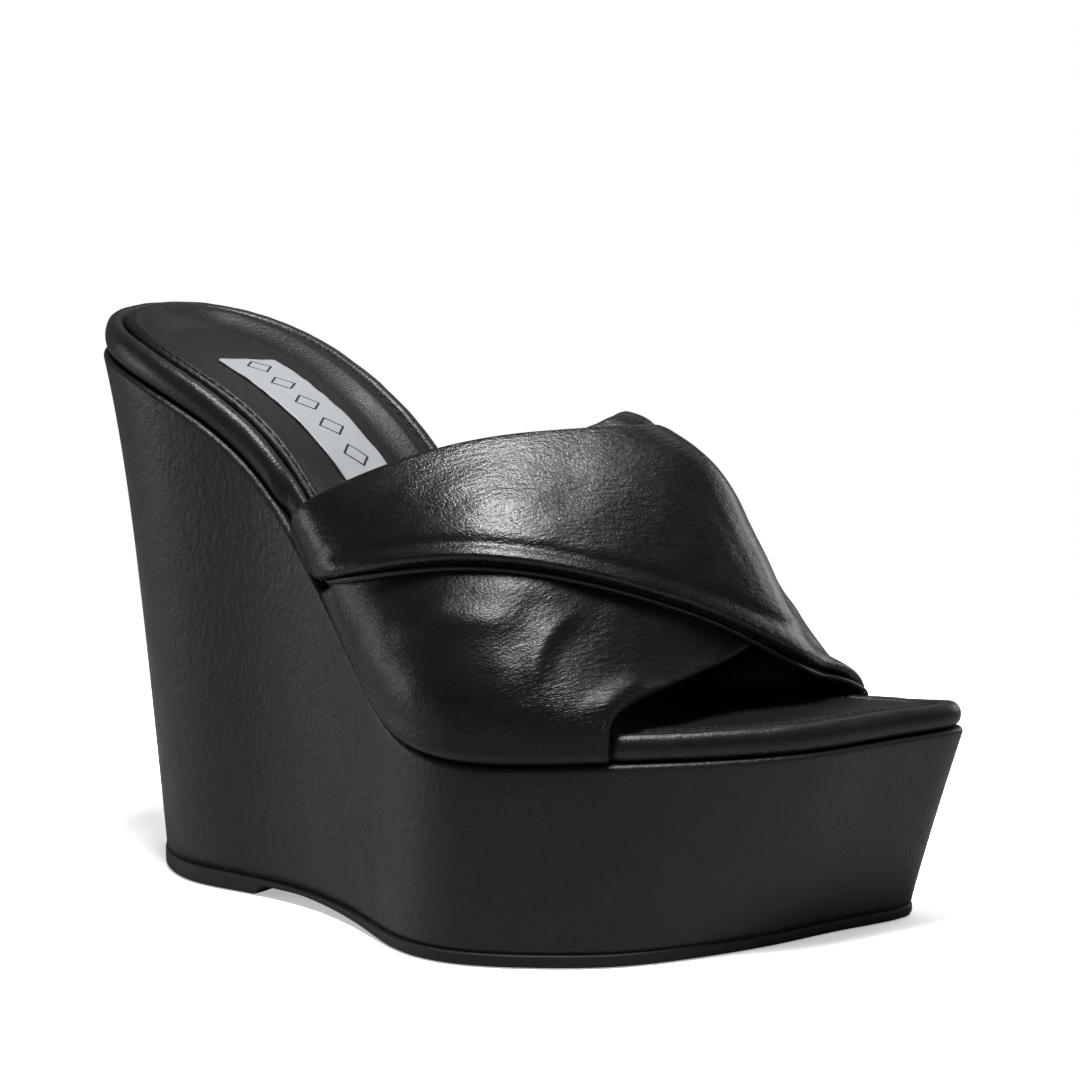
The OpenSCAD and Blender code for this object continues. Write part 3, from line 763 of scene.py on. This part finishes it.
def sock_off(p):
    """Height of the sock above the wedge's edge: rolled rim, seam, crest and dish."""
    x, y = p[..., 0], p[..., 1]
    d = edge_distance(p)
    heel = 1 - smooth(95, 150, x)
    inner = smooth(-4, 16, y) * heel
    crest_at = 2.4 + 3.4 * inner
    crest = 1.25 * heel * np.exp(-((d - crest_at) / 2.6) ** 2)
    dish = (2.2 * heel + 0.7 * (1 - heel)) * smooth(crest_at, crest_at + 9, d)
    rim = 0.8 * np.exp(-d / 0.45)
    seam = 0.22 * np.exp(-((d - SEAM_INSET) / 0.35) ** 2)
    soft = 0.07 * plan_noise(p, 14)
    return (6.45 + heel_lift(x) - toe_dip(x, y) + crest - dish - rim - seam
            - inlay_depth(p) + soft)


def across_grid(inset, n, m):
    xs = stations(inset, n)
    outer, inner = crossings(xs, inset)
    a, b = top_xy(outer, inset), top_xy(inner, inset)
    k = 0.5 - 0.5 * np.cos(math.pi * np.linspace(0, 1, m))
    k = (0.5 * np.linspace(0, 1, m) + 0.5 * k)[None, :, None]
    return a[:, None] + (b - a)[:, None] * k


plan_grid = across_grid(INNER_INSET, 240, 110)
sock_top = sock_off(plan_grid)


def at_off(p, off):
    return np.concatenate([p, over_edge(p[..., 0], off)[..., None]], -1)


# The sock turns down over the foam's edge
SOCK_THICK = 0.9
BOARD_TOP = 3.05
sock_turn = ((1.2 + heel_lift(plan_grid[..., 0]))
             * (1 - smooth(0, 1.3, edge_distance(plan_grid))))
plane_solid("dished_sock", at_off(plan_grid, sock_top - SOCK_THICK - sock_turn),
            at_off(plan_grid, sock_top), ["sock_lining"], SOCK)
foam_grid = across_grid(INNER_INSET + 1.7, 90, 40)
foam_top = sock_off(foam_grid) - SOCK_THICK - 0.1
plane_solid("dished_foam", at_off(foam_grid, np.minimum(BOARD_TOP, foam_top - 0.05)),
            at_off(foam_grid, foam_top), ["footbed_foam"], FOAM)


def build_label():
    n, m = 90, 34
    kx = np.linspace(0, 1, n)[:, None]
    ky = np.linspace(-1, 1, m)[None, :]
    r = 1.2
    gx = np.minimum(kx, 1 - kx) * LABEL_LENGTH
    trim = np.where(gx < r, r - np.sqrt(np.maximum(0, r * r - (r - gx) ** 2)), 0)
    half = LABEL_WIDTH / 2 - trim
    x = LABEL_REAR + LABEL_LENGTH * kx + LABEL_SKEW * ky * half
    y = LABEL_MIDDLE + LABEL_DRIFT * (x - LABEL_REAR) + ky * half
    p = np.stack([x, y], -1)
    rim = np.minimum(np.minimum(half * (1 - np.abs(ky)), gx), 1.2) / 1.2
    pucker = (0.10 * np.sin(x * 0.9 + 2 * np.sin(x * 0.21)) * (1 - rim)
              + 0.08 * plan_noise(p, 11))
    base = sock_off(p) + inlay_depth(p)
    top = base + 0.12 + 0.30 * np.sqrt(np.clip(rim, 0, 1)) + pucker
    grain = np.stack([LABEL_LENGTH * (kx - 0.5) + 0 * x, ky * half + 0 * x, 0 * x], -1)
    plane_solid("silver_patch", at_off(p, base - 0.05), at_off(p, top),
                ["label_patch"], LABEL, grain)


build_label()


def build_stitches():
    inset = INNER_INSET + SEAM_INSET
    stitch = 0.072
    n, m = 5, 6
    points, faces = [], []
    for t0 in even_laps(190):
        t = t0 + np.linspace(0, stitch, n)
        p = top_xy(t, np.full(n, inset))
        rise = 0.16 * np.sin(np.linspace(0.12, 0.88, n) * math.pi)
        c = at_off(p, sock_off(p) + 0.02 + rise)
        along = unit(np.gradient(c, axis=0))
        side = unit(np.cross(along, [0, 0, 1.0]))
        up = np.cross(side, along)
        r = 0.2 * np.array([0.35, 0.9, 1, 0.9, 0.35])[:, None, None]
        a = np.linspace(0, 2 * math.pi, m, endpoint=False)[None, :, None]
        ring = c[:, None] + r * (np.cos(a) * side[:, None] + np.sin(a) * up[:, None])
        first = len(points) * n * m
        points.append(ring.reshape(-1, 3))
        faces += [[first + v for v in f] for f in grid_faces(n, m, False, True, True)]
        faces += [[first + v for v in range(m)],
                  [first + (n - 1) * m + v for v in reversed(range(m))]]
    mesh_piece("sock_stitches", np.concatenate(points), faces,
               ["sock_stitching"], THREAD)


build_stitches()


# ---- Straps ----

def strap_tube(name, edges, over, section, nodes, material, u0=0.004, rows=300,
               end_mm=3.2, shape=None):
    """A closed pad across the strap.

    section(width) gives the loop's places across the strap, its heights, and how
    much of shape() each point takes. shape() adds to the height. The pad thins out
    over end_mm at both ends."""
    u = np.linspace(u0, 1 - u0, rows)
    rear, front = open_curve(edges[0], u * 4), open_curve(edges[1], u * 4)
    across = np.linspace(0, 1, 14)[None, :]
    line = foot_point(rear[:, None] + (front - rear)[:, None] * across, u[:, None] + 0 * across)
    width = np.linalg.norm(np.diff(line, axis=1), axis=2).sum(1)
    mid = line[:, 7]
    run = np.concatenate([[0], np.cumsum(np.linalg.norm(np.diff(mid, axis=0), axis=1))])
    end = np.minimum(run, run[-1] - run)
    full = np.maximum(0.1, np.sqrt(1 - (1 - np.clip(end / end_mm, 0, 1)) ** 2))
    w, h, top = section(width[:, None])
    c = w / width[:, None]
    s = rear[:, None] + (front - rear)[:, None] * c
    uu = u[:, None] + 0 * s
    base = strap_ride(s, uu) if over else 0
    extra = shape(s, uu, c, w, width[:, None], run[:, None] + 0 * s) * top if shape else 0
    low = h.min(axis=1, keepdims=True)
    height = low + (h - low + extra) * full[:, None]
    p = foot_point(s, uu) + (base + height)[..., None] * strap_normal(s, uu)
    rows, cols = p.shape[:2]
    faces = grid_faces(rows, cols, False, True)
    faces += [list(reversed(range(cols))), [(rows - 1) * cols + v for v in range(cols)]]
    grain = np.stack([run[:, None] + 0 * s, w, h], -1)
    mesh_piece(name, p.reshape(-1, 3), faces, nodes, material, grain.reshape(-1, 3))


def pad_section(low, thick, r_rear, r_front, crown=0.6, top_n=70, back_n=16):
    """Loop of a padded strap: rounded rear edge, crowned top, rounded front edge
    and the flat underside."""
    def section(width):
        turn = np.linspace(-math.pi / 2, math.pi / 2, 10)[None, :]
        rear_w = r_rear - r_rear * np.cos(turn) + 0 * width
        rear_h = r_rear * (1 + np.sin(turn)) + 0 * width
        k = np.linspace(0, 1, top_n)[None, 1:-1]
        k = 0.45 * k + 0.55 * (0.5 - 0.5 * np.cos(math.pi * k))
        span = width - r_rear - r_front
        top_w = r_rear + span * k
        plate = 2 * (r_rear + (r_front - r_rear) * k)
        crowned = np.sin(math.pi * np.clip(k, 0, 1)) ** crown
        top_h = plate + np.maximum(thick - low - plate, 0) * crowned + 0 * width
        front_w = width - r_front + r_front * np.cos(turn[:, ::-1])
        front_h = r_front * (1 + np.sin(turn[:, ::-1])) + 0 * width
        kb = np.linspace(1, 0, back_n)[None, 1:-1]
        back_w = r_rear + span * kb
        back_h = 0 * back_w
        w = np.concatenate([rear_w, top_w, front_w, back_w], 1)
        h = low + np.concatenate([rear_h, top_h, front_h, back_h], 1)
        upper = np.sin(np.maximum(turn, 0)) ** 2
        top = np.concatenate([upper + 0 * rear_w, 1 + 0 * top_w,
                              upper[:, ::-1] + 0 * front_w, 0 * back_w], 1)
        return w, h, top
    return section


def crease(u, c, run, w, a, b, width, depth, bend=0.0):
    """A soft groove (depth below 0) or ridge between two places a and b (u, c)."""
    girth = run.max()
    ax, ay, bx, by = a[0] * girth, a[1] * w, b[0] * girth, b[1] * w
    dx, dy = bx - ax, by - ay
    px, py = u * girth - ax, c * w - ay
    length = np.hypot(dx, dy)
    along = (px * dx + py * dy) / length ** 2
    k = np.clip(along, 0, 1)
    side = (px * dy - py * dx) / length - bend * 4 * k * (1 - k)
    over_end = np.maximum(0, np.abs(along - 0.5) - 0.5) * length
    fade = np.sin(math.pi * np.clip(k, 0.02, 0.98)) ** 0.7
    return depth * np.exp(-(side / width) ** 2 - (over_end / width) ** 2) * fade


def over_shape(s, u, c, w, width, run):
    """Unevenness of the upper strap."""
    p = foot_point(s, u)
    out = 0.45 * soft_noise(p, 42) + 0.16 * soft_noise(p + 7, 15)
    out = out * np.sin(math.pi * np.clip(c, 0, 1)) ** 0.5
    # The roll along the front edge stands above a shallow channel behind it
    out -= 0.5 * np.exp(-((width - w - 5.8) / 2.1) ** 2) * smooth(0.06, 0.2, u)
    return out


def under_shape(s, u, c, w, width, run):
    """Unevenness of the lower strap."""
    p = foot_point(s, u)
    out = 0.35 * soft_noise(p + 3, 34) + 0.18 * soft_noise(p + 11, 13)
    out = out * np.sin(math.pi * np.clip(c, 0, 1)) ** 0.5
    # Folds drawn towards the place where it goes under the upper strap
    out += crease(u, c, run, width, (0.165, 0.78), (0.335, 0.65), 1.5, 0.6, 1.5)
    out += crease(u, c, run, width, (0.17, 0.84), (0.34, 0.71), 2.8, -0.35, 1.5)
    out += crease(u, c, run, width, (0.19, 0.68), (0.31, 0.56), 3.2, -0.45, 1.5)
    out += crease(u, c, run, width, (0.19, 0.36), (0.25, 0.56), 3.4, 0.6, 0.0)
    drawn = smooth(0.1, 0.17, u) * (1 - smooth(0.33, 0.42, u)) * smooth(0.5, 0.66, c)
    out += 0.05 * drawn * np.sin(width * (c - u) * 2.1 + 2.2 * soft_noise(p, 12))
    # A soft roll along the front edge where it faces outwards
    out += (1.5 * np.exp(-((width - w - 3.2) / 3.0) ** 2)
            * smooth(0.10, 0.18, u) * (1 - smooth(0.26, 0.34, u)))
    # What bulges out behind the upper strap
    hump = np.exp(-((u - 0.545) / 0.07) ** 2 - ((s - 0.25) / 0.08) ** 2)
    out += 2.8 * hump * (1 - smooth(0.27, 0.34, s))
    return out


LINING_TOP = 0.85
over_pad = pad_section(LINING_TOP + 0.05, STRAP_FULL, 1.15, 1.5)
under_pad = pad_section(LINING_TOP + 0.05, STRAP_FULL, 1.15, 1.25)
strap_tube("over_strap_padded", OVER, True, over_pad,
           ["over_strap_outer"], STRAP, shape=over_shape)
strap_tube("under_strap_padded", UNDER, False, under_pad,
           ["under_strap_outer"], STRAP_UNDER, shape=under_shape)


def lining_section(width):
    turn = np.linspace(-math.pi / 2, math.pi / 2, 6)[None, :]
    r = LINING_TOP / 2
    inset = 0.5
    k = np.linspace(0, 1, 40)[None, 1:-1]
    span = width - 2 * inset - 2 * r
    w = np.concatenate([inset + r - r * np.cos(turn) + 0 * width, inset + r + span * k,
                        width - inset - r + r * np.cos(turn[:, ::-1]),
                        inset + r + span * k[:, ::-1]], 1)
    h = np.concatenate([r * (1 + np.sin(turn)) + 0 * width, 2 * r + 0 * span * k,
                        r * (1 + np.sin(turn[:, ::-1])) + 0 * width, 0 * span * k], 1)
    return w, h, 0 * w


strap_tube("over_strap_inside", OVER, True, lining_section,
           ["over_strap_lining"], LINING, end_mm=0.5)
strap_tube("under_strap_inside", UNDER, False, lining_section,
           ["under_strap_lining"], LINING, end_mm=0.5)


def foam_section(width):
    turn = np.linspace(0, 2 * math.pi, 40, endpoint=False)[None, :]
    n = 6
    half = width / 2 - 2.6
    low, high = LINING_TOP + 0.2, STRAP_FULL - 1.3
    w = width / 2 - half * squarish(np.cos(turn), n)
    h = (low + high) / 2 + (high - low) / 2 * squarish(np.sin(turn), n) + 0 * width
    return w, h, 0 * w


strap_tube("over_strap_wadding", OVER, True, foam_section,
           ["over_strap_foam"], FOAM, u0=0.03, rows=90, end_mm=2)
strap_tube("under_strap_wadding", UNDER, False, foam_section,
           ["under_strap_foam"], FOAM, u0=0.03, rows=90, end_mm=2)


def build_piping():
    r = 0.95
    ends = 0.012, 0.988
    u = np.linspace(*ends, 260)
    s = open_curve(OVER[1], u * 4)
    n = strap_normal(s, u)
    forward = unit(foot_point(s + 0.01, u) - foot_point(s - 0.01, u))
    lift = strap_ride(s, u) + 0.3
    c = foot_point(s, u) + n * lift[:, None] + forward * 0.75
    a = np.linspace(0, 2 * math.pi, 14, endpoint=False)[None, :, None]
    taper = np.clip(np.minimum(u - ends[0], ends[1] - u) / 0.01, 0.25, 1)[:, None, None]
    p = c[:, None] + r * taper * (np.cos(a) * forward[:, None] + np.sin(a) * n[:, None])
    rows, cols = p.shape[:2]
    faces = grid_faces(rows, cols, False, True, True)
    faces += [list(range(cols)), [(rows - 1) * cols + v for v in reversed(range(cols))]]
    mesh_piece("over_strap_cord", p.reshape(-1, 3), faces,
               ["over_strap_piping"], PIPING)


build_piping()


# ---- Studio, in metres ----

# Strength of the room's light and of the backdrop's, and the way to the backdrop
WORLD_FILL = 0.06
BACKDROP_GLOW = 0.12
BACKDROP_WAY = (-0.54, 0.82, 0.18)
# Tone of the floor in reflections and to the camera, and where it fades out
FLOOR_BOUNCE = 0.52
FLOOR_SHOWN = 4.2
FADE_FROM, FADE_TO, FADE_LEAST = 0.13, 0.45, 0.42
# Name, place, what it points at, size and power
LIGHTS = (("key", (0.055, -0.1, 0.8), (0.03, -0.02, 0.1), (0.17, 0.24), 5.2),
          ("toe", (0.2, 0.1, 0.8), (0.08, -0.02, 0.05), (0.14, 0.14), 0.5),
          ("back", (-0.12, 0.5, 0.55), (0.02, 0, 0.06), (0.4, 0.2), 0.2),
          ("fill", (0.3, 0.8, 0.3), (0, 0, 0.06), (0.5, 0.4), 1.4),
          ("side", (-0.9, -0.42, 0.13), (0, 0, 0.06), (0.5, 0.24), 1.15))


def build_floor():
    size, steps, below = 3.2, 24, 0.0002
    k = np.linspace(-size / 2, size / 2, steps)
    x, y = np.meshgrid(k, k, indexing="ij")
    points = np.stack([x, y, 0 * x - below], -1).reshape(-1, 3)
    mesh = bpy.data.meshes.new("floor")
    mesh.from_pydata(points.tolist(), [], grid_faces(steps, steps))
    floor = bpy.data.objects.new("floor", mesh)
    bpy.context.scene.collection.objects.link(floor)
    mat, _, add, link = nodes_of("studio_floor")
    # The floor is pale to the camera and dimmer in the leather's reflections
    path = add("ShaderNodeLightPath").outputs
    matt = add("ShaderNodeBsdfDiffuse")
    link(two_tone(add, link, path["Is Camera Ray"], (FLOOR_BOUNCE,) * 3, (FLOOR_SHOWN,) * 3),
         matt.inputs["Color"])
    # Away from the object it fades into the backdrop
    length = add("ShaderNodeVectorMath", operation="LENGTH")
    link(add("ShaderNodeTexCoord").outputs["Object"], length.inputs[0])
    far = ramped(add, link, length.outputs["Value"], FADE_FROM, FADE_TO, FADE_LEAST)
    shown = add("ShaderNodeMath", operation="MULTIPLY")
    link(far, shown.inputs[0])
    link(path["Is Camera Ray"], shown.inputs[1])
    glow = add("ShaderNodeEmission")
    mix = add("ShaderNodeMixShader")
    link(shown.outputs[0], mix.inputs["Fac"])
    link(matt.outputs["BSDF"], mix.inputs[1])
    link(glow.outputs["Emission"], mix.inputs[2])
    surface = next(n for n in mat.node_tree.nodes if n.type == "OUTPUT_MATERIAL")
    link(mix.outputs["Shader"], surface.inputs["Surface"])
    mesh.materials.append(mat)


def softbox(name, where, look, size, power):
    light = bpy.data.lights.new(name, "AREA")
    light.shape = "RECTANGLE"
    light.size, light.size_y = size
    light.energy = power
    obj = bpy.data.objects.new(name, light)
    obj.location = where
    obj.rotation_euler = (Vector(look) - Vector(where)).to_track_quat("-Z", "Y").to_euler()
    bpy.context.scene.collection.objects.link(obj)


def build_world():
    world = bpy.data.worlds.new("studio")
    bpy.context.scene.world = world
    world.use_nodes = True
    tree = world.node_tree
    tree.nodes.clear()
    out = tree.nodes.new("ShaderNodeOutputWorld")
    mix = tree.nodes.new("ShaderNodeMixShader")
    path = tree.nodes.new("ShaderNodeLightPath")
    seen = tree.nodes.new("ShaderNodeBackground")
    lit = tree.nodes.new("ShaderNodeBackground")
    seen.inputs["Color"].default_value = (1, 1, 1, 1)
    seen.inputs["Strength"].default_value = 1.0
    lit.inputs["Color"].default_value = (0.97, 0.98, 1, 1)
    # Reflections see a dim room, brighter towards the backdrop behind the object
    way = tree.nodes.new("ShaderNodeTexCoord")
    facing = tree.nodes.new("ShaderNodeVectorMath")
    facing.operation = "DOT_PRODUCT"
    facing.inputs[1].default_value = BACKDROP_WAY
    tree.links.new(way.outputs["Generated"], facing.inputs[0])
    glow = tree.nodes.new("ShaderNodeMapRange")
    glow.interpolation_type = "SMOOTHSTEP"
    glow.inputs["From Min"].default_value = 0.5
    glow.inputs["From Max"].default_value = 0.95
    glow.inputs["To Min"].default_value = WORLD_FILL
    glow.inputs["To Max"].default_value = BACKDROP_GLOW
    tree.links.new(facing.outputs["Value"], glow.inputs["Value"])
    tree.links.new(glow.outputs["Result"], lit.inputs["Strength"])
    tree.links.new(path.outputs["Is Camera Ray"], mix.inputs["Fac"])
    tree.links.new(lit.outputs["Background"], mix.inputs[1])
    tree.links.new(seen.outputs["Background"], mix.inputs[2])
    tree.links.new(mix.outputs["Shader"], out.inputs["Surface"])


def build_camera():
    """The viewing angle and lens that the object was seen from."""
    azimuth, elevation = math.radians(33.34), math.radians(8.86)
    distance, focal, sensor = 863, 117.1, 36
    target = np.array([123.2, 13.4, 85.2])
    back = np.array([math.sin(azimuth) * math.cos(elevation),
                     -math.cos(azimuth) * math.cos(elevation), math.sin(elevation)])
    cam = bpy.data.cameras.new("camera")
    cam.lens, cam.sensor_width = focal, sensor
    cam.clip_start, cam.clip_end = 0.01, 20
    obj = bpy.data.objects.new("camera", cam)
    obj.location = to_frame(target + back * distance)
    obj.rotation_euler = Vector(back).to_track_quat("Z", "Y").to_euler()
    bpy.context.scene.collection.objects.link(obj)
    bpy.context.scene.camera = obj


build_floor()
build_world()
for light in LIGHTS:
    softbox(*light)
build_camera()
scene = bpy.context.scene
scene.view_settings.view_transform = "Standard"
scene.view_settings.look = "None"
